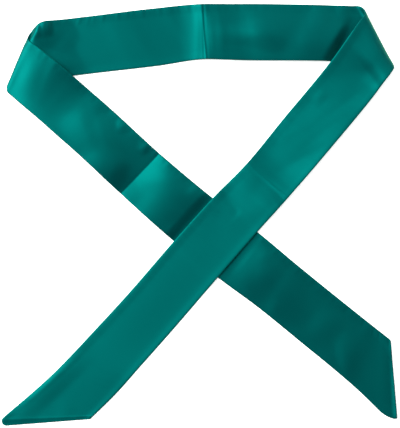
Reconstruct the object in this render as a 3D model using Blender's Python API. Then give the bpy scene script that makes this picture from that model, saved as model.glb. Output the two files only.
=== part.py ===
"""A skinny satin scarf, laid flat in a crossed loop.

The scarf is one long flattened tube of cloth. It lies on a table with two soft corner folds, and its
two tails cross. Three stretches show, and each one is a solid wall: the neck stretch between the folds,
and the front and back stretches, each of which starts with the roll of its fold and ends in a slanted tip.

A wall is built from section lines. Each line crosses the band from its inner edge to its outer edge.
The outer edge is the one outside the loop along the neck. Sizes below are in millimetres, and metres are
made at the end.
"""

from math import cos, pi, sin, tan
from typing import NamedTuple

import bpy
import numpy as np

# The scarf's own sizes
WIDTH = 60.0
WALL = 1.6  # two layers of satin, lying on each other
TIP_RADIUS = 5.0  # the rounded corners of the slanted ends
GAP = 0.3  # between the neck and the stretch that a fold leads to
REST_LIFT = WALL / 2  # height of the wall's middle where it lies on the table

# The largest creases, pressed across the band when it was folded in four for its packet
CREASE_HEIGHT = 3.5
CREASE_SPREAD = 28.0

# The front stretch passes over the back stretch
CROSSING_LIFT = WALL + 0.5
CROSSING_RAMP = 26.0

# How finely the walls are divided
SECTION_STEP = 8.0
ROLL_STEPS = 12
ACROSS_STEPS = 4
EDGE_STEPS = 4
END_STEPS = 8
END_LENGTH = 2 * TIP_RADIUS  # the last bit of a tail, whose sections lie closer
THINNEST_END = 0.35  # the wall's last section, as a share of its thickness

MILLIMETRE = 0.001
SATIN_COLOUR = (0.0, 0.17, 0.145, 1.0)
SATIN_ROUGHNESS = 0.42


class Section(NamedTuple):
    """One section line of the band.

    x, y: the line's middle on the table.
    across: its direction from the inner to the outer edge, in degrees from +X.
    spread: its length in band widths, 1 where it crosses the band squarely and more where it leans.
    outer_lift, inner_lift: how far each edge is raised above where it would rest.
    """

    x: float
    y: float
    across: float
    spread: float
    outer_lift: float = 0.0
    inner_lift: float = 0.0


class Fold(NamedTuple):
    """A soft corner roll.

    outer_reach, inner_reach: how far it stands out at each edge of the band.
    outward: which way it stands out, in degrees from +X.
    """

    outer_reach: float
    inner_reach: float
    outward: float


LEFT_FOLD = Fold(12.6, 2.4, 170.0)
RIGHT_FOLD = Fold(7.0, 2.2, 20.0)

NECK = {
    "left fold": Section(-179.8, 169.9, 58.6, 1.29),
    "left quarter": Section(-113.4, 178.2, 78.0, 1.06),
    "left middle": Section(-49.4, 185.8, 96.0, 1.01),
    "crease": Section(4.0, 191.6, 95.0, 0.97),
    "right middle": Section(52.0, 191.1, 89.5, 0.99),
    "right quarter": Section(106.0, 190.6, 92.0, 0.99),
    "right fold": Section(180.4, 189.3, 121.8, 1.16),
}
FRONT = {
    "fold": Section(184.4, 177.5, 121.7, 1.05, 14.0, 4.7),
    "over the neck's edge": Section(160.3, 143.7, 141.0, 0.96, 6.0, 0.6),
    "upper": Section(108.6, 80.6, 140.0, 0.965),
    "crease": Section(70.4, 35.2, 139.0, 0.94),
    "crossing start": Section(37.1, -0.2, 141.0, 0.98),
    "crossing end": Section(-4.8, -47.5, 139.5, 1.0),
    "lower": Section(-50.9, -100.9, 138.5, 1.005),
    "bend": Section(-86.4, -140.3, 137.0, 1.02),
    "tail": Section(-121.8, -178.2, 165.0, 1.19),
    "cut": Section(-166.6, -218.8, 184.4, 1.72),
}
BACK = {
    "fold": Section(-186.9, 152.5, 61.8, 0.97, 12.0, 4.6),
    "over the neck's edge": Section(-151.9, 123.3, 50.0, 0.965, 6.0, 0.5),
    "upper": Section(-112.1, 88.3, 48.0, 0.97),
    "crease": Section(-64.4, 44.3, 46.0, 0.98),
    "crossing start": Section(-7.2, -5.3, 48.0, 1.02),
    "crossing end": Section(39.5, -42.3, 49.0, 1.06),
    "lower": Section(80.9, -74.8, 49.0, 1.01),
    "bend": Section(121.4, -107.7, 50.0, 1.01),
    "tail": Section(171.2, -148.6, 77.8, 1.16),
    "cut": Section(204.1, -178.8, 94.8, 1.58),
}


def clear_scene():
    for thing in list(bpy.data.objects):
        bpy.data.objects.remove(thing, do_unlink=True)


def edges_of(sections):
    """The outer and the inner end of each section line, as two arrays of points."""
    table = np.array(list(sections.values()))
    x, y, across, spread, outer_lift, inner_lift = table.T
    angle = np.radians(across)
    half = spread * WIDTH / 2
    reach = np.stack([half * np.cos(angle), half * np.sin(angle)], axis=1)
    middle = np.stack([x, y], axis=1)
    outer = np.column_stack([middle + reach, REST_LIFT + outer_lift])
    inner = np.column_stack([middle - reach, REST_LIFT + inner_lift])
    return outer, inner


def distances_along(outer, inner):
    """Distance of each section's middle along the band, on the table."""
    middle = (outer + inner)[:, :2] / 2
    steps = np.linalg.norm(np.diff(middle, axis=0), axis=1)
    return np.concatenate([[0.0], np.cumsum(steps)])


def soft_curve(at, values, where):
    """A cubic curve through the values that never overshoots them.

    Its slope at a value is the harmonic mean of the slopes on both sides, or level at a turning point.
    """
    step = np.diff(at)[:, None]
    slope = np.diff(values, axis=0) / step
    before, after = slope[:-1], slope[1:]
    same_way = before * after > 0
    mean = np.where(same_way, 2 * before * after / np.where(same_way, before + after, 1.0), 0.0)
    tangent = np.concatenate([slope[:1], mean, slope[-1:]])
    piece = np.clip(np.searchsorted(at, where, side="right") - 1, 0, len(at) - 2)
    width = step[piece]
    t = (where - at[piece])[:, None] / width
    return (
        (1 + 2 * t) * (1 - t) ** 2 * values[piece]
        + t * (1 - t) ** 2 * width * tangent[piece]
        + t**2 * (3 - 2 * t) * values[piece + 1]
        - t**2 * (1 - t) * width * tangent[piece + 1]
    )


def ridge(distance, height, spread):
    """A crease that stands up: a tent whose sides sag towards the table."""
    return height * np.clip(1 - np.abs(distance) / spread, 0, None) ** 2


def trough(distance, height, spread):
    """A crease that dips: the cloth touches the table there and swells on both sides, highest half-way out."""
    swell = height * np.sin(pi * np.abs(distance) / spread) ** 2
    return np.where(np.abs(distance) < spread, swell, 0.0)


def bridge(distance, start, end, height, ramp):
    """A level stretch from start to end with an even ramp on both sides."""
    outside = np.maximum(start - distance, distance - end)
    t = np.clip(1 - outside / ramp, 0, 1)
    return height * t * t * (3 - 2 * t)


def section_places(length):
    """Even steps along a stretch that ends in another section line."""
    count = int(np.ceil(length / SECTION_STEP))
    return np.linspace(0, length, count + 1)


def tip_places(length):
    """Even steps along a stretch, then ever shorter ones to its rounded end."""
    even = section_places(length - END_LENGTH)
    turn = np.linspace(0, pi / 2, END_STEPS + 1)[1:]
    return np.concatenate([even, length - END_LENGTH * (1 - np.sin(turn))])


def roll(start, end, reach):
    """Half an ellipse from one point to the point above it, standing out sideways by the reach."""
    turn = np.linspace(0, pi, ROLL_STEPS + 1)[:, None]
    return start + (end - start) * (1 - np.cos(turn)) / 2 + reach * np.sin(turn)


def fold(corner, neck_outer, neck_inner, outer, inner):
    """The roll that leads from a section line of the neck up and over to the first line of the next stretch.

    Its first line starts the gap away from the neck, at both edges.
    """
    turned = pi * corner.outward / 180
    outward = np.array([cos(turned), sin(turned), 0.0])
    rolled_outer = roll(neck_outer, outer, outward * corner.outer_reach)
    rolled_inner = roll(neck_inner, inner, outward * corner.inner_reach)
    for edge in (rolled_outer, rolled_inner):
        edge[0] += unit(edge[1] - edge[0]) * GAP
    return rolled_outer[:-1], rolled_inner[:-1]


def corner_inset(depth, angle):
    """How far a rounded corner lies inside its two straight sides, at a depth from one of them."""
    reach = TIP_RADIUS / tan(angle / 2)
    round_part = depth < reach * np.sin(angle)
    arc = reach - np.sqrt(np.clip(TIP_RADIUS**2 - (TIP_RADIUS - depth) ** 2, 0, None))
    return np.where(round_part, arc - depth / tan(angle), 0.0)


def round_tip(outer, inner):
    """Rounds both corners of the slanted cut, and gives how far each section lies from the cut."""
    cut = outer[-1] - inner[-1]
    cut = cut / np.linalg.norm(cut)
    normal = np.array([cut[1], -cut[0], 0.0])
    depth = np.abs((outer - outer[-1]) @ normal)
    along = outer - inner
    along = along / np.linalg.norm(along, axis=1, keepdims=True)
    side_outer = outer[-END_STEPS - 1] - outer[-1]
    side_inner = inner[-END_STEPS - 1] - inner[-1]
    outer_angle = np.arccos(-side_outer @ cut / np.linalg.norm(side_outer))
    inner_angle = np.arccos(side_inner @ cut / np.linalg.norm(side_inner))
    rounded_outer = outer - along * corner_inset(depth, outer_angle)[:, None]
    rounded_inner = inner + along * corner_inset(depth, inner_angle)[:, None]
    return rounded_outer, rounded_inner, depth


def end_thickness(depth):
    """The wall's share of its thickness near the cut, which is a soft folded edge."""
    inside = np.clip(1 - depth / (WALL / 2), 0, 1)
    return np.maximum(np.sqrt(1 - inside**2), THINNEST_END)


def unit(vectors):
    return vectors / np.linalg.norm(vectors, axis=-1, keepdims=True)


def wall_rings(outer, inner, thickness):
    """One closed ring of points round the wall for each section, its long edges half round."""
    share = np.linspace(0, 1, ACROSS_STEPS + 1)
    across = unit(outer - inner)
    inset = across * (WALL / 2)
    low, high = inner + inset, outer - inset
    middle = low[:, None] + (high - low)[:, None] * share[None, :, None]
    along = np.gradient(middle, axis=0)
    crosswise = np.broadcast_to(across[:, None], middle.shape)
    up = unit(np.cross(crosswise, along))
    flat = len(middle) // 2
    if up[flat, 0, 2] < 0:
        up = -up
    half = (thickness * WALL / 2)[:, None, None]
    turn = np.linspace(pi / 2, -pi / 2, EDGE_STEPS + 1)[1:-1]
    round_up = np.sin(turn)[None, :, None]
    round_out = np.cos(turn)[None, :, None] * (WALL / 2)
    outer_edge = high[:, None] + across[:, None] * round_out + up[:, -1:] * half * round_up
    inner_edge = low[:, None] - across[:, None] * round_out - up[:, :1] * half * round_up
    top = middle + up * half
    bottom = (middle - up * half)[:, ::-1]
    return np.concatenate([top, outer_edge, bottom, inner_edge], axis=1)


def satin(name):
    """Polyester satin in teal: a soft shine and no metal."""
    material = bpy.data.materials.new(f"satin {name}")
    material.use_nodes = True
    surface = material.node_tree.nodes["Principled BSDF"]
    surface.inputs["Base Color"].default_value = SATIN_COLOUR
    surface.inputs["Roughness"].default_value = SATIN_ROUGHNESS
    surface.inputs["Metallic"].default_value = 0.0
    material.diffuse_color = SATIN_COLOUR
    return material


def volume_of(points, faces):
    """Six times the enclosed volume, positive when the faces point outwards."""
    corners = points[[face[:3] for face in faces]]
    return np.einsum("ij,ij->i", corners[:, 0], np.cross(corners[:, 1], corners[:, 2])).sum()


def add_wall(name, rings, centre):
    """Joins the rings to one closed body and puts it in the scene, in metres."""
    count, around = rings.shape[:2]
    points = (rings - centre).reshape(-1, 3) * MILLIMETRE
    index = np.arange(count * around).reshape(count, around)
    turned = np.roll(index, -1, axis=1)
    sides = np.stack([index[:-1], turned[:-1], turned[1:], index[1:]], axis=2).reshape(-1, 4)
    triangles = np.concatenate([sides[:, [0, 1, 2]], sides[:, [0, 2, 3]]])
    start_cap = index[0][::-1]
    end_cap = index[-1]
    faces = [list(map(int, face)) for face in sides]
    faces += [list(map(int, start_cap)), list(map(int, end_cap))]
    if volume_of(points, triangles) < 0:
        faces = [face[::-1] for face in faces]
    mesh = bpy.data.meshes.new(name)
    mesh.from_pydata(points.tolist(), [], faces)
    mesh.shade_smooth()
    mesh.set_sharp_from_angle(angle=pi / 4)
    thing = bpy.data.objects.new(name, mesh)
    thing.data.materials.append(satin(name))
    bpy.context.scene.collection.objects.link(thing)
    return thing


def neck():
    outer, inner = edges_of(NECK)
    at = distances_along(outer, inner)
    where = section_places(at[-1])
    lift = ridge(where - at[list(NECK).index("crease")], CREASE_HEIGHT, CREASE_SPREAD)[:, None] * [0, 0, 1]
    return soft_curve(at, outer, where) + lift, soft_curve(at, inner, where) + lift


def tail(sections, corner, neck_outer, neck_inner, lift_over):
    """A stretch from its fold to its slanted tip: its two edges, and its thickness at each section."""
    outer, inner = edges_of(sections)
    at = distances_along(outer, inner)
    where = tip_places(at[-1])
    lift = lift_over(where, dict(zip(sections, at)))[:, None] * [0, 0, 1]
    outer, inner = soft_curve(at, outer, where) + lift, soft_curve(at, inner, where) + lift
    outer, inner, depth = round_tip(outer, inner)
    rolled_outer, rolled_inner = fold(corner, neck_outer, neck_inner, outer[0], inner[0])
    thickness = np.concatenate([np.ones(len(rolled_outer)), end_thickness(depth)])
    return np.concatenate([rolled_outer, outer]), np.concatenate([rolled_inner, inner]), thickness


def front_lift(where, places):
    crease = ridge(where - places["crease"], CREASE_HEIGHT, CREASE_SPREAD)
    crossing = bridge(where, places["crossing start"], places["crossing end"], CROSSING_LIFT, CROSSING_RAMP)
    return np.maximum(crease, crossing)


def back_lift(where, places):
    return trough(where - places["crease"], CREASE_HEIGHT, CREASE_SPREAD)


def main():
    clear_scene()
    neck_outer, neck_inner = neck()
    front = tail(FRONT, RIGHT_FOLD, neck_outer[-1], neck_inner[-1], front_lift)
    back = tail(BACK, LEFT_FOLD, neck_outer[0], neck_inner[0], back_lift)
    walls = {
        "neck_stretch": wall_rings(neck_outer, neck_inner, np.ones(len(neck_outer))),
        "front_stretch": wall_rings(*front),
        "back_stretch": wall_rings(*back),
    }
    points = np.concatenate([rings.reshape(-1, 3) for rings in walls.values()])
    low, high = points.min(axis=0), points.max(axis=0)
    centre = np.array([(low[0] + high[0]) / 2, (low[1] + high[1]) / 2, 0.0])
    for name, rings in walls.items():
        add_wall(name, rings, centre)


main()
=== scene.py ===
# %% [markdown]
# # A skinny satin scarf, laid in a crossed loop
# The real scarf is one long strip of teal polyester satin. It is folded lengthwise, sewn to a flat tube
# along one long edge, closed with two slanted end seams and pressed. It lies on a white table in a loop.
# Its CAD model is three solids, one for each stretch between the folds, and they give the sizes and the
# places of the folds. This lesson makes the cloth itself over them: one thin, hollow tube with soft folds,
# creases and dents, because the real cloth runs on through both folds.

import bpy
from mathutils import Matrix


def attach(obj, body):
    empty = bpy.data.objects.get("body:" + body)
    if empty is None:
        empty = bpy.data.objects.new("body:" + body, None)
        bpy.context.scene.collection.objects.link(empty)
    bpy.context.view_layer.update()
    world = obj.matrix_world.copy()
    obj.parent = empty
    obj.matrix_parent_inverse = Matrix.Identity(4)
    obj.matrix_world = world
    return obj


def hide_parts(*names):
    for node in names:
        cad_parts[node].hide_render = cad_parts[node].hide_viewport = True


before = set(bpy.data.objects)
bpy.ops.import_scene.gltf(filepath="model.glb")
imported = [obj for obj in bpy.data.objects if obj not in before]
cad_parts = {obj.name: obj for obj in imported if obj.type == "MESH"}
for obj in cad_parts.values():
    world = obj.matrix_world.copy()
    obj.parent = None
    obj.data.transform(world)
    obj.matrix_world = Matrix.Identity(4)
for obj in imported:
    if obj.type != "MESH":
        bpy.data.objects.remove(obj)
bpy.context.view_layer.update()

# %% [markdown]
# All sizes below are in millimetres, as a maker would measure them, and become metres only when a mesh is
# made. The band is 60 mm wide. Two layers of satin lie on each other with a little air between them, so
# its long edges are soft rolls about a millimetre and a half thick, while the cloth itself is thin.

# %% Sizes of the scarf
from math import cos, pi, sin, tan
from typing import NamedTuple

import bpy
import numpy as np
from mathutils import Vector

MILLIMETRE = 0.001
WIDTH = 60.0
EDGE_THICKNESS = 1.6
CLOTH = 0.3  # one layer, a little thicker than real satin so that it stays solid when it is printed
TIP_RADIUS = 5.0
REST = EDGE_THICKNESS / 2  # height of the tube's middle where it lies on the table
LAID_MIDDLE = np.array([-0.653, -0.396])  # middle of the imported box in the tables' coordinates

# %% [markdown]
# The tube is described by section lines. Each line crosses the band from its inner to its outer edge, as a
# row of pins would on a cutting table. Between the lines the band is interpolated. It could be bent along
# a curve with a modifier, but a band that folds, fans out and ends in a slanted cut needs both of its edges
# under control, and a line for each change of direction gives that.

# %% Section lines of the three stretches
class Section(NamedTuple):
    """One section line.

    x, y: its middle on the table.
    across: its direction from the inner to the outer edge, in degrees from +X.
    spread: its length in band widths.
    outer_lift, inner_lift: how far each edge is raised above where it would rest.
    """

    x: float
    y: float
    across: float
    spread: float
    outer_lift: float = 0.0
    inner_lift: float = 0.0


NECK = {
    "left fold": Section(-179.8, 169.9, 58.6, 1.29),
    "left quarter": Section(-113.4, 178.2, 78.0, 1.06),
    "left middle": Section(-49.4, 185.8, 96.0, 1.01),
    "crease": Section(4.0, 191.6, 95.0, 0.97),
    "right middle": Section(52.0, 191.1, 89.5, 0.99),
    "right quarter": Section(106.0, 190.6, 92.0, 0.99),
    "right fold": Section(180.4, 189.3, 121.8, 1.16),
}
FRONT = {
    "fold": Section(184.4, 177.5, 121.7, 1.05, 11.2, 3.4),
    "top of the roll": Section(177.2, 167.4, 127.2, 1.01, 12.4, 4.4),
    "over the neck's edge": Section(160.3, 143.7, 141.0, 0.96, 6.0, 0.6),
    "upper": Section(108.6, 80.6, 140.0, 0.965),
    "crease": Section(70.4, 35.2, 139.0, 0.94),
    "crossing start": Section(37.1, -0.2, 141.0, 0.98),
    "crossing end": Section(-4.8, -47.5, 139.5, 1.0),
    "lower": Section(-50.9, -100.9, 138.5, 1.005),
    "bend": Section(-86.4, -140.3, 137.0, 1.02),
    "tail": Section(-121.8, -178.2, 165.0, 1.19),
    "cut": Section(-166.6, -218.8, 184.4, 1.72),
}
BACK = {
    "fold": Section(-186.9, 152.5, 61.8, 0.97, 8.8, 1.4),
    "top of the roll": Section(-168.5, 137.1, 55.6, 0.965, 9.8, 4.4),
    "over the neck's edge": Section(-151.9, 123.3, 50.0, 0.965, 6.8, 5.6),
    "after the roll": Section(-133.0, 106.7, 49.0, 0.967, 2.2, 6.4),
    "upper": Section(-112.1, 88.3, 48.0, 0.97, 0.0, 5.0),
    "crease": Section(-62.8, 42.8, 46.0, 0.98),
    "crossing start": Section(-7.2, -5.3, 48.0, 1.02),
    "crossing end": Section(39.5, -42.3, 49.0, 1.06),
    "lower": Section(80.9, -74.8, 49.0, 1.01),
    "bend": Section(121.4, -107.7, 50.0, 1.01),
    "tail": Section(171.2, -148.6, 77.8, 1.16),
    "cut": Section(204.1, -178.8, 94.8, 1.58),
}


def edges_of(sections):
    """Outer and inner end of each line: middle plus or minus half its length along its direction."""
    x, y, across, spread, outer_lift, inner_lift = np.array(list(sections.values())).T
    angle, half = np.radians(across), spread * WIDTH / 2
    reach = np.stack([half * np.cos(angle), half * np.sin(angle)], axis=1)
    middle = np.stack([x, y], axis=1) - LAID_MIDDLE
    return (
        np.column_stack([middle + reach, REST + outer_lift]),
        np.column_stack([middle - reach, REST + inner_lift]),
    )


print("section lines", len(NECK) + len(FRONT) + len(BACK))

# %% [markdown]
# A soft curve leads each edge through its section lines without overshooting them, so that straight runs
# stay straight. The lines of the grid lie closer at the pressed creases, where the cloth bends sharply,
# and at the tips, where the corners are round.

# %% Curves along the band
GRID_STEP = 1.9
CREASE_STEP = 0.5
CREASE_REACH = 4.0
FINE_PLACES = 4000
TIP_STEPS = 20
TIP_LENGTH = 2 * TIP_RADIUS


def distances_along(outer, inner):
    """Distance of each line's middle along the band, added up on the table."""
    steps = np.linalg.norm(np.diff((outer + inner)[:, :2] / 2, axis=0), axis=1)
    return np.concatenate([[0.0], np.cumsum(steps)])


def soft_curve(at, values, where):
    """Cubic through the values. Its slope at each is the harmonic mean of both sides, or level at a turn."""
    step = np.diff(at)[:, None]
    slope = np.diff(values, axis=0) / step
    before, after = slope[:-1], slope[1:]
    same_way = before * after > 0
    mean = np.where(same_way, 2 * before * after / np.where(same_way, before + after, 1.0), 0.0)
    tangent = np.concatenate([slope[:1], mean, slope[-1:]])
    piece = np.clip(np.searchsorted(at, where, side="right") - 1, 0, len(at) - 2)
    width = step[piece]
    t = (where - at[piece])[:, None] / width
    return (
        (1 + 2 * t) * (1 - t) ** 2 * values[piece]
        + t * (1 - t) ** 2 * width * tangent[piece]
        + t**2 * (3 - 2 * t) * values[piece + 1]
        - t**2 * (1 - t) * width * tangent[piece + 1]
    )


def close_places(length, crease):
    """Places from 0 to length. Their density is even, plus a bell round the crease."""
    fine = np.linspace(0, length, FINE_PLACES)
    extra = np.exp(-(((fine - crease) / CREASE_REACH) ** 2))
    density = 1 / GRID_STEP + (1 / CREASE_STEP - 1 / GRID_STEP) * extra
    count = np.concatenate([[0.0], np.cumsum(density[1:] * np.diff(fine))])
    return np.interp(np.linspace(0, count[-1], int(count[-1]) + 1), count, fine)


def tip_places(length, crease):
    """Close places, then ever shorter steps to the cut: length minus TIP_LENGTH times (1 - sine)."""
    turn = np.linspace(0, pi / 2, TIP_STEPS + 1)[1:]
    tip = length - TIP_LENGTH * (1 - np.sin(turn))
    return np.concatenate([close_places(length - TIP_LENGTH, crease), tip])


# %% [markdown]
# Before it was laid out, the scarf was folded in four for its packet. Each pressed fold left a crease across
# the band: two stand up as low tents and one dips as a valley. The front stretch also rides over the back
# stretch in a long, low hump. These are the main forms of the cloth and lift both of its layers together.
# The valley's two sides differ, because the photograph shows it dark before the line and bright after it.

# %% Creases and the crossing
CREASE_HEIGHT = 3.5
CREASE_SPREAD = 28.0
SWELL_BEFORE = (1.8, 110.0)  # height and length of the cloth's swell before the valley
SWELL_AFTER = (2.6, 66.0)
CROSSING_LIFT = 2.1
CROSSING_RAMP = 26.0


def ridge(distance):
    """A tent whose sides sag: height times (1 - distance/spread) squared."""
    return CREASE_HEIGHT * np.clip(1 - np.abs(distance) / CREASE_SPREAD, 0, None) ** 2


def swell(distance, height, spread):
    """Highest at a third, then lands softly: height times 27/4 t (1 - t)^2, where t = distance/spread."""
    t = np.clip(distance / spread, 0, 1)
    return height * 27 / 4 * t * (1 - t) ** 2


def valley(distance):
    """The line touches the table, and the cloth swells low and long before it, high and short after it."""
    return swell(-distance, *SWELL_BEFORE) + swell(distance, *SWELL_AFTER)


def hump(distance, start, end):
    """Level from start to end, with an even ramp on both sides: t squared times (3 - 2t)."""
    t = np.clip(1 - np.maximum(start - distance, distance - end) / CROSSING_RAMP, 0, 1)
    return CROSSING_LIFT * t * t * (3 - 2 * t)


def neck_lift(where, places):
    return ridge(where - places["crease"])


def front_lift(where, places):
    over = hump(where, places["crossing start"], places["crossing end"])
    return np.maximum(ridge(where - places["crease"]), over)


def back_lift(where, places):
    return valley(where - places["crease"])


def laid_edges(sections, lift, places_along):
    """Both edges of a stretch with its lift, and the places of its grid lines and section lines."""
    outer, inner = edges_of(sections)
    at = distances_along(outer, inner)
    places = dict(zip(sections, at))
    where = places_along(at[-1], places["crease"])
    raised = lift(where, places)[:, None] * [0, 0, 1]
    return soft_curve(at, outer, where) + raised, soft_curve(at, inner, where) + raised, where, places


neck_outer, neck_inner, neck_where, _ = laid_edges(NECK, neck_lift, close_places)
front_outer, front_inner, front_where, _ = laid_edges(FRONT, front_lift, tip_places)
back_outer, back_inner, back_where, back_places = laid_edges(BACK, back_lift, tip_places)
print("grid lines", len(neck_where), len(front_where), len(back_where))

# %% [markdown]
# The ends are cut at a slant and their corners are rounded by the turned seam. A round corner lies inside
# the two straight sides that it joins, by an amount that follows from its radius and the corner's angle.

# %% Rounded tips
def unit(vectors):
    return vectors / np.linalg.norm(vectors, axis=-1, keepdims=True)


def corner_inset(depth, angle):
    """Inset of a round corner at a depth: reach - sqrt(r^2 - (r - depth)^2) - depth/tan(angle)."""
    reach = TIP_RADIUS / tan(angle / 2)
    arc = reach - np.sqrt(np.clip(TIP_RADIUS**2 - (TIP_RADIUS - depth) ** 2, 0, None))
    return np.where(depth < reach * np.sin(angle), arc - depth / tan(angle), 0.0)


def round_tip(outer, inner):
    """Moves both edges in where the corners are round, and gives each line's distance from the cut."""
    cut = unit(outer[-1] - inner[-1])
    depth = np.abs((outer - outer[-1]) @ np.array([cut[1], -cut[0], 0.0]))
    along = unit(outer - inner)
    side_outer = unit(outer[-TIP_STEPS - 1] - outer[-1])
    side_inner = unit(inner[-TIP_STEPS - 1] - inner[-1])
    outer_angle, inner_angle = np.arccos(-side_outer @ cut), np.arccos(side_inner @ cut)
    rounded_outer = outer - along * corner_inset(depth, outer_angle)[:, None]
    rounded_inner = inner + along * corner_inset(depth, inner_angle)[:, None]
    return rounded_outer, rounded_inner, depth


front_outer, front_inner, front_depth = round_tip(front_outer, front_inner)
back_outer, back_inner, back_depth = round_tip(back_outer, back_inner)
print("distance of the first line from the cut", round(front_depth[0]), round(back_depth[0]))

# %% [markdown]
# At both upper corners the band turns over in a soft roll. It isn't pressed, so it stands up as half an
# ellipse from the neck's last line to the line above it where the tail starts. Its top lies a little inside
# that line, as the section tables say. Pulling the curve a little towards its own running average takes out
# the small kinks where roll and stretch meet.

# %% Rolls at the corners
class Fold(NamedTuple):
    """outer_reach, inner_reach: how far the roll stands out at each edge. outward: its side, in degrees."""

    outer_reach: float
    inner_reach: float
    outward: float


LEFT_FOLD = Fold(12.6, 2.4, 170.0)
RIGHT_FOLD = Fold(7.0, 2.2, 20.0)
ROLL_STEPS = 18
SOFTENING_ROUNDS = 6
SOFTENING_REACH = 4.0  # in grid lines
FAR_FROM_A_CUT = 1000.0  # stands for the distance of every line that isn't near a tip


def roll(start, end, reach):
    """Half an ellipse: start + (end - start)(1 - cos t)/2 + reach sin t, for t from 0 to half a turn."""
    t = np.linspace(0, pi, ROLL_STEPS + 1)[1:-1, None]
    return start + (end - start) * (1 - np.cos(t)) / 2 + reach * np.sin(t)


def fold(corner, from_outer, from_inner, to_outer, to_inner):
    """The lines of a roll between a line of the neck and the first line of a tail."""
    turned = pi * corner.outward / 180
    outward = np.array([cos(turned), sin(turned), 0.0])
    return (
        roll(from_outer, to_outer, outward * corner.outer_reach),
        roll(from_inner, to_inner, outward * corner.inner_reach),
    )


def softened(path, middles):
    """Path pulled towards its running average, by a bell round each middle line."""
    lines = np.arange(len(path))
    share = sum(np.exp(-(((lines - middle) / SOFTENING_REACH) ** 2)) for middle in middles)
    share = np.clip(share, 0, 1)[:, None]
    for _ in range(SOFTENING_ROUNDS):
        average = path.copy()
        average[1:-1] = (path[:-2] + 2 * path[1:-1] + path[2:]) / 4
        path = path + share * (average - path)
    return path


left_outer, left_inner = fold(LEFT_FOLD, neck_outer[0], neck_inner[0], back_outer[0], back_inner[0])
right_outer, right_inner = fold(RIGHT_FOLD, neck_outer[-1], neck_inner[-1], front_outer[0], front_inner[0])
outer = np.concatenate([back_outer[::-1], left_outer[::-1], neck_outer, right_outer, front_outer])
inner = np.concatenate([back_inner[::-1], left_inner[::-1], neck_inner, right_inner, front_inner])
counts = [len(back_outer), len(left_outer), len(neck_outer), len(right_outer), len(front_outer)]
starts = np.concatenate([[0], np.cumsum(counts)])
BACK_LINES, LEFT_LINES, NECK_LINES, RIGHT_LINES, FRONT_LINES = (
    slice(int(start), int(end)) for start, end in zip(starts[:-1], starts[1:])
)
kinks = [LEFT_LINES.start, LEFT_LINES.stop, RIGHT_LINES.start, RIGHT_LINES.stop]
outer, inner = softened(outer, kinks), softened(inner, kinks)
depth = np.full(len(outer), FAR_FROM_A_CUT)
depth[BACK_LINES], depth[FRONT_LINES] = back_depth[::-1], front_depth
print("lines from tip to tip", len(outer))

# %% [markdown]
# A laid satin tube is never flat. The upper layer floats on air and shows long, shallow ridges and troughs.
# Most rows below are under three millimetres high, but where they overlap they add up, to nearly nine on the
# neck's rise before the right fold. Satin mirrors the light so strongly that each slope of a few degrees
# shows as a light or a dark patch. A cloth simulation would put them anywhere, so each has a row of its own.
# A fit to the light and dark slopes in the photograph proposed the rows, and many were then changed, added or
# taken out.

# %% Ridges and troughs, row by row
class Wrinkle(NamedTuple):
    """A soft ridge, or a trough where its height is negative.

    x, y: its middle. turned: direction of its crest, in degrees from +X.
    length, width: half its size along and across its crest. height: at the crest.
    lean: from -1 to 1, how far the crest lies to its left, which makes the left side steeper.
    """

    x: float
    y: float
    turned: float
    length: float
    width: float
    height: float
    lean: float = 0.0


NECK_WRINKLES = [
    # the left corner, where the neck comes out of its roll
    Wrinkle(-171, 184, 48, 46, 22, 4.6, 0.4),
    Wrinkle(-157, 173, 111, 66, 29, 3.6, 0.4),
    Wrinkle(-155, 162, 166, 44, 12, 2.0, 0.2),
    Wrinkle(-112, 180, 120, 63, 29, -0.5, -0.2),
    # both sides of the middle crease
    Wrinkle(-42, 188, 125, 43, 22, -0.6),
    Wrinkle(6, 187, 90, 51, 9, -0.9),
    Wrinkle(7, 166, 92, 56, 4, -0.5, 0.2),
    Wrinkle(10, 202, 93, 37, 6, 0.7, 0.5),
    Wrinkle(18, 201, 99, 64, 25, 1.1, 0.1),
    Wrinkle(31, 187, 99, 64, 23, 1.6, 0.3),
    # the long rise to the steep hump beside the right fold
    Wrinkle(47, 175, 9, 59, 30, 2.2, 0.3),
    Wrinkle(52, 206, 168, 57, 32, 3.7, 0.4),
    Wrinkle(82, 184, 84, 52, 55, 6.2, -0.3),
    Wrinkle(122, 186, 60, 46, 28, 6.8, -0.7),
    # short bumps along the seam
    Wrinkle(125, 205, 80, 19, 14, 0.8, -0.2),
    Wrinkle(151, 214, 95, 13, 10, 1.0, -0.1),
    Wrinkle(-141, 190, 120, 19, 15, 0.8, -0.3),
    Wrinkle(-163, 197, 102, 13, 11, 2.8, -0.4),
    Wrinkle(-174, 194, 108, 12, 8, 1.9, -0.4),
    Wrinkle(-118, 200, 176, 15, 6, 0.3),
]
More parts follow.
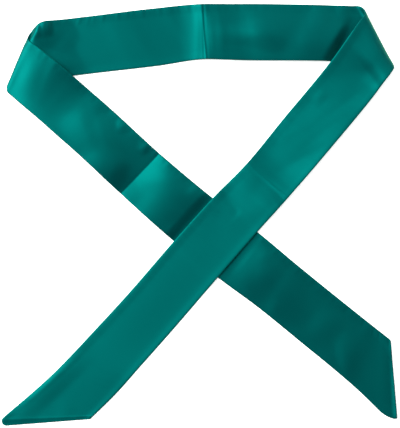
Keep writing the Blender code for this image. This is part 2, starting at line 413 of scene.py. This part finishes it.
FRONT_WRINKLES = [
    # the tip, then from the crossing up past the crease
    Wrinkle(-156, -184, 43, 67, 12, 1.2, 0.6),
    Wrinkle(22, 21, 139, 40, 20, -0.6, -0.3),
    Wrinkle(27, -19, 167, 37, 22, -0.5, -0.3),
    Wrinkle(55, 68, 52, 61, 15, -1.2, 0.3),
    Wrinkle(63, 10, 137, 59, 25, 3.1),
    Wrinkle(67, 37, 141, 45, 6, -0.5, -0.2),
    Wrinkle(77, 3, 132, 32, 20, 1.9, -0.5),
    Wrinkle(81, 92, 22, 44, 16, -0.4, 0.2),
    # the upper part, as far as the right roll
    Wrinkle(97, 122, 48, 65, 16, -1.4, 0.3),
    Wrinkle(112, 39, 29, 44, 22, 3.5, -0.4),
    Wrinkle(112, 54, 21, 52, 33, 2.0),
    Wrinkle(128, 91, 10, 63, 30, 2.3, -0.1),
    Wrinkle(144, 75, 38, 50, 20, 2.7, -0.4),
    Wrinkle(164, 102, 36, 61, 21, 1.8),
    Wrinkle(168, 120, 9, 61, 32, 2.3),
    Wrinkle(191, 136, 48, 48, 22, 2.1, -0.5),
    Wrinkle(191, 153, 128, 45, 16, 2.5),
    Wrinkle(185, 173, 126, 33, 9, 1.2),
    # short bumps along the seam and at the tip, and one dent at the crossing
    Wrinkle(126, 123, 49, 14, 8, 0.3, 0.1),
    Wrinkle(89, 78, 49, 13, 8, 0.1),
    Wrinkle(27, 1, 49, 16, 12, -1.0, -0.7),
    Wrinkle(-141, -207, 81, 17, 13, 0.2),
    Wrinkle(-185, -203, 70, 12, 11, 0.1, -0.1),
    # the long, low ridge that runs down the tail
    Wrinkle(-46, -80, 51, 120, 34, 1.3, 0.5),
]
BACK_WRINKLES = [
    # from the left roll to the valley crease
    Wrinkle(-176, 146, 68, 32, 14, 0.8, 0.2),
    Wrinkle(-126, 85, 112, 26, 20, 1.0, -0.3),
    Wrinkle(-106, 116, 108, 13, 14, 0.4),
    Wrinkle(-110, 67, 110, 80, 32, 2.3, -0.4),
    Wrinkle(-107, 83, 141, 55, 38, 1.6, -0.2),
    Wrinkle(-104, 48, 60, 28, 30, 2.6, -0.4),
    Wrinkle(-92, 52, 130, 50, 31, 1.0),
    Wrinkle(-82, 92, 71, 9, 7, 0.5),
    Wrinkle(-59, 71, 61, 9, 7, 0.7, -0.4),
    # from the valley crease to the crossing
    Wrinkle(-69, 20, 38, 64, 21, -0.4, 0.5),
    Wrinkle(-36, -12, 134, 40, 19, 2.8, 0.5),
    Wrinkle(-32, -9, 149, 61, 32, 2.5),
    Wrinkle(-24, 18, 133, 52, 26, 2.8, 0.1),
    Wrinkle(-19, 11, 6, 63, 23, 1.1, -0.1),
    Wrinkle(-10, 20, 147, 54, 18, 2.2, -0.2),
    Wrinkle(-2, 27, 57, 15, 10, 0.7, 0.2),
    # the lower tail, from the crossing to the tip
    Wrinkle(60, -59, 58, 49, 28, 2.2, -0.1),
    Wrinkle(69, -43, 58, 12, 11, 0.3),
    Wrinkle(79, -98, 81, 11, 8, 0.2),
    Wrinkle(86, -78, 100, 43, 30, 2.0, 0.1),
    Wrinkle(132, -118, 60, 26, 20, 0.8),
    Wrinkle(156, -151, 104, 31, 14, 1.1, 0.1),
    Wrinkle(152, -140, 58, 45, 28, 0.8, -0.3),
    Wrinkle(174, -122, 91, 10, 8, 0.2),
    Wrinkle(204, -140, 105, 16, 10, 1.4, -0.1),
    Wrinkle(208, -188, 93, 67, 8, 3.4, -0.8),
]

LOWEST = -0.3  # the upper layer may sink this far before it lies on the lower one
RAISED_FREE = 2.2  # where the band is raised more than this, it may also sink by what is above it
SINKS_AT_MOST = 3.0  # but by no more than this
FLOOR_SOFTNESS = 0.12
LEAN_REACH = 0.8  # how far a lean of 1 moves the crest, as a share of the half width


def bell(distance):
    """(1 - distance^2) squared inside 1, and 0 outside."""
    return np.clip(1 - distance**2, 0, None) ** 2


def wrinkle_height(points, wrinkles):
    """Sum of height * bell(along / length) * bell(across / width), with the crest moved by the lean."""
    total = np.zeros(points.shape[:-1])
    for x, y, turned, length, width, height, lean in wrinkles:
        angle = pi * turned / 180
        away = points[..., :2] - [x, y]
        along = (away @ [cos(angle), sin(angle)]) / length
        across = (away @ [-sin(angle), cos(angle)]) / width
        crest = LEAN_REACH * lean
        side = np.where(across > crest, 1 - crest, 1 + crest)
        total += height * bell(along) * bell((across - crest) / side)
    return total


def kept_above(height, lowest):
    """Height, but never below lowest, with a soft bend: lowest + s log(1 + exp((height - lowest)/s))."""
    return lowest + FLOOR_SOFTNESS * np.logaddexp(0, (height - lowest) / FLOOR_SOFTNESS)


print("wrinkles", len(NECK_WRINKLES), len(FRONT_WRINKLES), len(BACK_WRINKLES))

# %% [markdown]
# The sewing shows through the cloth. The seam that closes the tube runs along the outer edge of the neck,
# which is the loop's side of both tails, and its turned allowance makes a faint step 7 mm inside the edge.
# The thread also gathers the cloth a little, so small puckers sit along the seam. The end seams do the same.

# %% Seam allowances and puckers
ALLOWANCE = 7.0
STEP_HEIGHT = 0.1
STEP_SOFTNESS = 3.0
PUCKER_HEIGHT = 0.2
PUCKER_REACH = 7.0
PUCKER_LENGTHS = (6.1, 9.7, 15.8, 27.0)
SEAM_SHIFT, END_SHIFT = 1.3, 0.7  # start the waves of the long seam and of the end seams apart


def allowance_step(distance):
    """Height of the doubled allowance: level to 7 mm from the seam, then a soft step down."""
    t = np.clip((distance - ALLOWANCE) / STEP_SOFTNESS + 0.5, 0, 1)
    return STEP_HEIGHT * (1 - t * t * (3 - 2 * t))


def puckers(along, distance, shift):
    """Uneven small waves along a seam: a mean of sines that fades with the distance from the seam."""
    turns = [2 * pi * along / length for length in PUCKER_LENGTHS]
    waves = sum(np.sin(turn + shift * (k + 1)) for k, turn in enumerate(turns))
    return PUCKER_HEIGHT * waves / len(PUCKER_LENGTHS) * np.exp(-((distance / PUCKER_REACH) ** 2))


# %% [markdown]
# The tube's cross-section is a flat ring: side A from the inner to the outer edge, a half-round edge, side B
# back again and the other edge. Side A is up on the neck, and side B is up on the tails, because each
# corner fold turns the band over. The upper side carries the whole wrinkle. The side below follows only the
# ridges, and by about half, so that the scarf still rests on the table. At the rims both layers are one
# cloth and rise together. Under the front stretch, the back stretch is pressed flat.

# %% Rings round the tube
SIDE_POINTS = 34
EDGE_POINTS = 4
HIDDEN_SHARE = 0.55  # how much of a ridge the layer below follows
SAG = 0.42  # how far the upper layer sinks between the thicker edges
SAG_REACH = 5.0
RIM_REACH = 9.0  # both layers are joined at the rim, so they rise together there
PRESS_RAMP = 12.0
UNDER_FRONT = 0.15  # how much of the back's wrinkles is left under the front stretch
THINNEST = 0.12  # share of the thickness that is left at a cut
EVEN_SHARE = 0.65  # share of even spacing in the places across the band


def across_places():
    """Places across the band from 0 to 1, closer near the edges: a mix of t and (1 - cos(pi t))/2."""
    t = np.linspace(0, 1, SIDE_POINTS)
    return EVEN_SHARE * t + (1 - EVEN_SHARE) * (1 - np.cos(pi * t)) / 2


def band_points(outer, inner):
    """Points of the band's middle surface, straight from edge to edge, and the directions at each line."""
    across = unit(outer - inner)
    low, high = inner + across * REST, outer - across * REST
    share = across_places()
    middle = low[:, None] + (high - low)[:, None] * share[None, :, None]
    along = np.gradient(middle, axis=0)
    normal = unit(np.cross(along, np.broadcast_to(across[:, None], middle.shape)))
    return middle, across, normal


middle, across, normal = band_points(outer, inner)
if normal[NECK_LINES][0, 0, 2] < 0:
    normal = -normal
width_here = np.linalg.norm(outer - inner, axis=1)[:, None]
share = across_places()[None, :]
from_inner = share * width_here
from_outer = width_here - from_inner
near_edge = np.minimum(from_inner, from_outer)
centre_steps = np.linalg.norm(np.diff(middle.mean(axis=1), axis=0), axis=1)
travelled = np.concatenate([[0.0], np.cumsum(centre_steps)])
print("length of the band from tip to tip, mm", round(float(travelled[-1])))


def neck_share():
    """How far side A faces up: 1 on the neck, (1 + cos(pi t))/2 over each roll, and 0 on the tails."""
    share = np.zeros(len(outer))
    share[NECK_LINES] = 1.0
    for lines, way in ((LEFT_LINES, -1), (RIGHT_LINES, 1)):
        t = np.linspace(0, 1, counts[1] + 2)[1:-1][::way]
        share[lines] = (1 + np.cos(pi * t)) / 2
    return share


def pressed_down():
    """1 where the back lies free, UNDER_FRONT below the front, and t squared (3 - 2t) between them."""
    free = np.ones(len(outer))
    start, end = back_places["crossing start"], back_places["crossing end"]
    t = np.clip(np.maximum(start - back_where, back_where - end) / PRESS_RAMP, 0, 1)
    free[BACK_LINES] = (UNDER_FRONT + (1 - UNDER_FRONT) * t * t * (3 - 2 * t))[::-1]
    return free


def heights():
    """Heights of the sewing, of the neck's wrinkles and of the tails' wrinkles, at each point of the band."""
    sag = SAG * (1 - np.exp(-((near_edge / SAG_REACH) ** 2)))
    from_cut = depth[:, None] * np.ones_like(from_outer)
    sewing = np.maximum(allowance_step(from_outer), allowance_step(from_cut))
    sewing = sewing + puckers(travelled[:, None], from_outer, SEAM_SHIFT)
    sewing = sewing + puckers(from_outer, depth[:, None], END_SHIFT)
    lowest = LOWEST - np.clip(middle[..., 2] - REST - RAISED_FREE, 0, SINKS_AT_MOST)
    tails = wrinkle_height(middle, BACK_WRINKLES) * pressed_down()[:, None]
    tails[NECK_LINES.start :] = wrinkle_height(middle[NECK_LINES.start :], FRONT_WRINKLES)
    neck = kept_above(wrinkle_height(middle, NECK_WRINKLES), LOWEST)
    return sewing - sag, neck, kept_above(tails, lowest)


def end_share(depth):
    """Share of the thickness near a cut, which is a soft folded edge: a quarter circle."""
    inside = np.clip(1 - depth / REST, 0, 1)
    return np.maximum(np.sqrt(1 - inside**2), THINNEST)


def ring_points():
    """The outer skin's rings. A side moves by its wrinkles where it is up, and follows them elsewhere."""
    detail, on_neck, on_tails = heights()
    thin = end_share(depth)[:, None]
    neck_up = neck_share()[:, None]
    at_rim = np.exp(-((np.minimum(near_edge, depth[:, None]) / RIM_REACH) ** 2))
    follows = HIDDEN_SHARE + (1 - HIDDEN_SHARE) * at_rim
    on_neck, on_tails = on_neck * neck_up, on_tails * (1 - neck_up)
    below_tails, below_neck = follows * np.maximum(on_tails, 0), follows * np.maximum(on_neck, 0)
    height_a = REST * thin + detail * thin * neck_up + on_neck - below_tails
    height_b = REST * thin + detail * thin * (1 - neck_up) + on_tails - below_neck
    side_a = middle + normal * height_a[..., None]
    side_b = middle - normal * height_b[..., None]
    turn = np.linspace(pi / 2, -pi / 2, EDGE_POINTS + 2)[1:-1]

    def edge(column, out):
        centre = (side_a[:, column] + side_b[:, column]) / 2
        half = (side_a[:, column] - side_b[:, column]) / 2
        reach = out * REST * np.cos(turn)[None, :, None]
        return centre[:, None] + half[:, None] * np.sin(turn)[None, :, None] + across[:, None] * reach

    return np.concatenate([side_a, edge(-1, 1), side_b[:, ::-1], edge(0, -1)[:, ::-1]], axis=1)


outer_skin = ring_points()
print("outer skin", outer_skin.shape)

# %% [markdown]
# The cloth is a wall, not a solid. Solidify could add its inner side, but the inside is never seen, so a
# coarser inner skin saves faces for the outside: every second point, moved in by the cloth's thickness.
# Both skins are closed at the tips, where the end seams are. The inner one ends where there is room for it.

# %% The inner skin
ROOMY = 0.8  # share of the full thickness that the inner skin needs


def skin_normals(skin):
    """Unit normals of a grid of rings: cross product of the steps round it and along it."""
    around = np.roll(skin, -1, axis=1) - np.roll(skin, 1, axis=1)
    return unit(np.cross(around, np.gradient(skin, axis=0)))


skin_out = skin_normals(outer_skin)
centre_line, centre_point = len(outer_skin) // 2, SIDE_POINTS // 2
if skin_out[centre_line, centre_point] @ normal[centre_line, centre_point] < 0:
    skin_out = -skin_out
roomy = np.where(end_share(depth) > ROOMY)[0]
inner_skin = (outer_skin - skin_out * CLOTH)[roomy[0] : roomy[-1] + 1 : 2, ::2]
print("inner skin", inner_skin.shape)

# %% [markdown]
# The mesh is a grid of quads. Each corner also gets a place on the cloth in metres, along the strip and
# round the tube. This UV map carries the weave, so the pattern follows the cloth round each fold.

# %% Faces and places on the cloth
def skin_quads(lines, ring, edge_points):
    """Quads between neighbouring rings, and a zip of quads that closes each flat end.

    Each corner is a pair of grid numbers, line and column. The column may equal the ring's count, which
    is the first column again, but at the far end of the cloth's own scale.
    """
    line, column = np.meshgrid(np.arange(lines - 1), np.arange(ring), indexing="ij")
    corners = [(line, column), (line, column + 1), (line + 1, column + 1), (line + 1, column)]
    sides = np.stack([np.stack(corner, axis=-1) for corner in corners], axis=2).reshape(-1, 4, 2)
    order = np.roll(np.arange(ring), edge_points // 2)
    here = np.arange(ring // 2 - 1)
    zipped = np.stack([order[here], order[ring - 1 - here], order[ring - 2 - here], order[here + 1]], axis=1)
    start = np.stack([np.zeros_like(zipped), zipped], axis=2)
    end = np.stack([np.full_like(zipped, lines - 1), zipped], axis=2)[:, ::-1]
    return np.concatenate([sides, start, end])


def cloth_places(skin):
    """Metres along each column from the tube's middle line, and metres round the ring."""
    closed = np.concatenate([skin, skin[:, :1]], axis=1)
    steps = np.linalg.norm(np.diff(closed, axis=0), axis=2)
    run = np.concatenate([np.zeros((1, closed.shape[1])), np.cumsum(steps, axis=0)])
    steps = np.linalg.norm(np.diff(closed, axis=1), axis=2)
    round_it = np.concatenate([np.zeros((len(skin), 1)), np.cumsum(steps, axis=1)], axis=1)
    return np.stack([run - run[len(skin) // 2], round_it], axis=2) * MILLIMETRE


def volume_of(points, quads):
    """Six times the volume that the quads close in, positive when they face out."""
    a, b, c, d = (points[quads[:, k]] for k in range(4))
    return float((np.cross(a, b) * c).sum() + (np.cross(a, c) * d).sum())


def tube_mesh(name, skins):
    """One mesh of several closed skins, each with its edge points and 1 to face out or -1 to face in."""
    points, quads, places, first = [], [], [], 0
    for skin, edge_points, facing in skins:
        lines, ring = skin.shape[:2]
        corners = skin_quads(lines, ring, edge_points)
        faces = corners[..., 0] * ring + corners[..., 1] % ring
        flat = skin.reshape(-1, 3) * MILLIMETRE
        if volume_of(flat, faces) * facing < 0:
            corners, faces = corners[:, ::-1], faces[:, ::-1]
        on_cloth = cloth_places(skin)
        points.append(flat)
        quads.append(faces + first)
        places.append(on_cloth[corners[..., 0], corners[..., 1]])
        first += len(flat)
    mesh = bpy.data.meshes.new(name)
    mesh.from_pydata(np.concatenate(points).tolist(), [], np.concatenate(quads).tolist())
    cloth_map = mesh.uv_layers.new(name="cloth")
    cloth_map.data.foreach_set("uv", np.concatenate(places).astype(np.float32).ravel())
    mesh.shade_smooth()
    return mesh


scarf = bpy.data.objects.new(
    "satin_scarf",
    tube_mesh("satin_scarf", [(outer_skin, EDGE_POINTS, 1), (inner_skin, EDGE_POINTS // 2, -1)]),
)
bpy.context.scene.collection.objects.link(scarf)
print("triangles", 2 * len(scarf.data.polygons))

# %% [markdown]
# A material is a small tree of nodes. Colours are written as the hex values that a picture shows, and one
# function turns them linear, because the shader works with amounts of light. A second function adds a node
# with its settings and links, so that each material below reads as a list of what it does.

# %% Colours and a small node helper
def colour(hex_value):
    """sRGB hex to linear: c/12.92 up to 0.04045, else ((c + 0.055)/1.055)^2.4."""
    channels = [int(hex_value[k : k + 2], 16) / 255 for k in (1, 3, 5)]
    return [c / 12.92 if c <= 0.04045 else ((c + 0.055) / 1.055) ** 2.4 for c in channels] + [1.0]


def add(tree, kind, settings=None, links=None):
    """Adds a node. Settings holds its properties and socket values, and links what feeds its sockets."""
    node = tree.nodes.new(kind)
    for name, value in (settings or {}).items():
        if isinstance(name, str) and hasattr(node, name):
            setattr(node, name, value)
        else:
            node.inputs[name].default_value = value
    for name, source in (links or {}).items():
        tree.links.new(source, node.inputs[name])
    return node


def new_material(name, settings):
    """A new material, its node tree and its shader, with settings on the shader's own sockets."""
    material = bpy.data.materials.new(name)
    material.use_nodes = True
    surface = material.node_tree.nodes["Principled BSDF"]
    for socket, value in settings.items():
        surface.inputs[socket].default_value = value
    return material, material.node_tree, surface


A, B, RESULT = 6, 7, 2  # colour sockets of a Mix node
print("mid grey in linear light", [round(c, 3) for c in colour("#808080")])

# %% [markdown]
# Polyester satin has long floating threads on its face. They lie side by side and mirror the light in their
# own colour, so its shine is teal and not white, and it is stretched across the threads. The shader gives
# that with a part of metal, a tinted gloss and some anisotropy along the cloth's own direction.

# %% Polyester satin
TEAL = "#005053"
TEAL_DEEP = "#004C50"
TEAL_GLOSS = "#00FFA0"
STREAKS_PER_METRE = (60.0, 1400.0, 1.0)  # along the strip, round the tube, and unused


def polyester_satin():
    """Woven satin: teal mirror-like floats with soft, uneven streaks along the threads and a faint nap."""
    gloss = colour(TEAL_GLOSS)
    look = {
        "Metallic": 0.66,
        "IOR": 1.6,
        "Specular Tint": gloss,
        "Anisotropic": 0.48,
        "Anisotropic Rotation": 0.25,
        "Sheen Weight": 0.08,
        "Sheen Roughness": 0.4,
        "Sheen Tint": gloss,
    }
    material, tree, surface = new_material("polyester satin", look)
    place = add(tree, "ShaderNodeTexCoord").outputs["UV"]
    # Real floats are 0.1 mm wide, too fine for this picture, so their streaks are drawn 0.7 mm wide
    streak_place = add(tree, "ShaderNodeMapping", {"Scale": STREAKS_PER_METRE}, {"Vector": place}).outputs[0]
    fine, broad = {"Scale": 1.0, "Detail": 2.0}, {"Scale": 25.0, "Detail": 3.0}
    streaks = add(tree, "ShaderNodeTexNoise", fine, {"Vector": streak_place}).outputs[0]
    clouds = add(tree, "ShaderNodeTexNoise", broad, {"Vector": place}).outputs[0]
    tones = {"data_type": "RGBA", A: colour(TEAL), B: colour(TEAL_DEEP)}
    tone = add(tree, "ShaderNodeMix", tones, {0: clouds})
    rough = add(tree, "ShaderNodeMapRange", {"To Min": 0.47, "To Max": 0.53}, {"Value": streaks})
    bump = add(tree, "ShaderNodeBump", {"Strength": 0.25, "Distance": 0.0001}, {"Height": streaks})
    tangent = add(tree, "ShaderNodeTangent", {"direction_type": "UV_MAP", "uv_map": "cloth"})
    tree.links.new(tone.outputs[RESULT], surface.inputs["Base Color"])
    tree.links.new(rough.outputs[0], surface.inputs["Roughness"])
    tree.links.new(bump.outputs[0], surface.inputs["Normal"])
    tree.links.new(tangent.outputs[0], surface.inputs["Tangent"])
    return material


scarf.data.materials.append(polyester_satin())
print("material", scarf.data.materials[0].name, [round(c, 3) for c in colour(TEAL)[:3]])

# %% [markdown]
# The scarf lies on a white light table, which glows a little from below, so its shadows stay faint as in
# the photograph. The table is the middle of a wide, round sweep that curves up to a low wall, so that a view
# from the side also ends on white. A profile turned round the middle gives it in one grid. Sizes here are in
# metres.

# %% The light table and its sweep
FLAT_RADIUS = 8.0
BEND_RADIUS = 2.0
WALL_TOP = 2.4
BEND_STEPS = 12
TURN_STEPS = 64
UNDER_SCARF = -0.00005  # a hair's breadth below the scarf, so that the two surfaces never coincide


def sweep_profile():
    """Radius and height: flat to the bend, then a quarter turn (R sin t, R - R cos t), then straight up."""
    t = np.linspace(0, pi / 2, BEND_STEPS)
    bend = FLAT_RADIUS + BEND_RADIUS * np.sin(t)
    radius = np.concatenate([[0.0, 1.0], bend, [FLAT_RADIUS + BEND_RADIUS]])
    height = np.concatenate([[0.0, 0.0], BEND_RADIUS * (1 - np.cos(t)), [WALL_TOP]])
    return radius, height + UNDER_SCARF


def turned_surface(name, radius, height):
    """Each profile point turned round the vertical axis: (r cos a, r sin a, h), with one middle point."""
    a = np.linspace(0, 2 * pi, TURN_STEPS, endpoint=False)
    r, h = radius[1:, None], height[1:, None]
    rim = np.stack([r * np.cos(a), r * np.sin(a), h * np.ones(TURN_STEPS)], axis=2)
    points = np.concatenate([[[0.0, 0.0, height[0]]], rim.reshape(-1, 3)])
    index = 1 + np.arange(rim.shape[0] * TURN_STEPS).reshape(-1, TURN_STEPS)
    turned = np.roll(index, -1, axis=1)
    quads = np.stack([index[:-1], index[1:], turned[1:], turned[:-1]], axis=2).reshape(-1, 4)
    middle = np.stack([np.zeros_like(index[0]), index[0], turned[0]], axis=1)
    mesh = bpy.data.meshes.new(name)
    mesh.from_pydata(points.tolist(), [], quads.tolist() + middle.tolist())
    mesh.shade_smooth()
    thing = bpy.data.objects.new(name, mesh)
    bpy.context.scene.collection.objects.link(thing)
    return thing


def white_card():
    """Matte card of bleached fibres, which scatter light evenly. The glow is the light from below."""
    glow = {"Emission Color": colour("#FFFFFF"), "Emission Strength": 0.7}
    look = {"Roughness": 0.9, "IOR": 1.45, **glow}
    material, tree, surface = new_material("matte white card, lit from below", look)
    place = add(tree, "ShaderNodeTexCoord").outputs["Object"]
    fibres = add(tree, "ShaderNodeTexNoise", {"Scale": 60.0, "Detail": 4.0}, {"Vector": place})
    tones = {"data_type": "RGBA", A: colour("#FBFBFB"), B: colour("#F8F8F8")}
    tone = add(tree, "ShaderNodeMix", tones, {0: fibres.outputs[0]})
    tree.links.new(tone.outputs[RESULT], surface.inputs["Base Color"])
    return material


table = turned_surface("table", *sweep_profile())
table.data.materials.append(white_card())
print("sweep faces", len(table.data.polygons))

# %% [markdown]
# The photograph's light comes from a large soft source on the left and a little from above: slopes that
# face left are light, slopes that face right are dark. A second, weaker lamp and a white room fill the rest.
# Area lamps are used because their size makes a soft shine, which a point or a sun can't give.

# %% Lights and room
class Lamp(NamedTuple):
    """turned, raised: its place in degrees, from +X and above the table. distance, size: in metres."""

    turned: float
    raised: float
    distance: float
    size: float
    watts: float


LAMPS = {
    "left window": Lamp(151.0, 48.0, 4.0, 2.8, 350.0),
    "soft box behind": Lamp(52.0, 50.0, 4.0, 2.8, 55.0),
}

LAMP_WHITE = "#FFFFFC"
ROOM_WHITE = "#E8F2FF"
ROOM_STRENGTH = 0.07


def lamp(name, turned, raised, distance, size, watts):
    """A square area lamp on a sphere round the scarf's middle, which it faces."""
    light = bpy.data.lights.new(name, "AREA")
    light.energy, light.size = watts, size
    light.color = colour(LAMP_WHITE)[:3]
    thing = bpy.data.objects.new(name, light)
    round_it, up = pi * turned / 180, pi * raised / 180
    place = np.array([cos(round_it) * cos(up), sin(round_it) * cos(up), sin(up)]) * distance
    thing.location = place
    thing.rotation_euler = Vector(-place).to_track_quat("-Z", "Y").to_euler()
    bpy.context.scene.collection.objects.link(thing)


for name, values in LAMPS.items():
    lamp(name, *values)

world = bpy.data.worlds.new("white room")
world.use_nodes = True
room = world.node_tree.nodes["Background"]
room.inputs["Color"].default_value = colour(ROOM_WHITE)
room.inputs["Strength"].default_value = ROOM_STRENGTH
bpy.context.scene.world = world
bpy.context.scene.view_settings.view_transform = "Standard"
print("lamps", ", ".join(LAMPS))

# %% [markdown]
# The camera looks straight down from 1.6 m, as the photograph was taken. A long lens keeps the scarf free of
# perspective: its focal length follows from the 449 mm of table that the picture's long side takes in.

# %% Camera
CAMERA_HEIGHT = 1.6
SENSOR = 36.0  # millimetres
SEEN = 0.4494  # metres of table along the picture's long side
PICTURE_MIDDLE = (0.00065, 0.00092)  # metres, the place on the table below the camera

view = bpy.data.cameras.new("camera")
view.sensor_width = SENSOR
view.lens = SENSOR * CAMERA_HEIGHT / SEEN
camera = bpy.data.objects.new("camera", view)
camera.location = (*PICTURE_MIDDLE, CAMERA_HEIGHT)
bpy.context.scene.collection.objects.link(camera)
bpy.context.scene.camera = camera
print("lens, mm", round(view.lens, 1))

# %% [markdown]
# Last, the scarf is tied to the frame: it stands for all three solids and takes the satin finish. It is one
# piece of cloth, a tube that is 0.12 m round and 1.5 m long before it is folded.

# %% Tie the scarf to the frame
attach(scarf, "root")
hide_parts("neck_stretch", "front_stretch", "back_stretch")
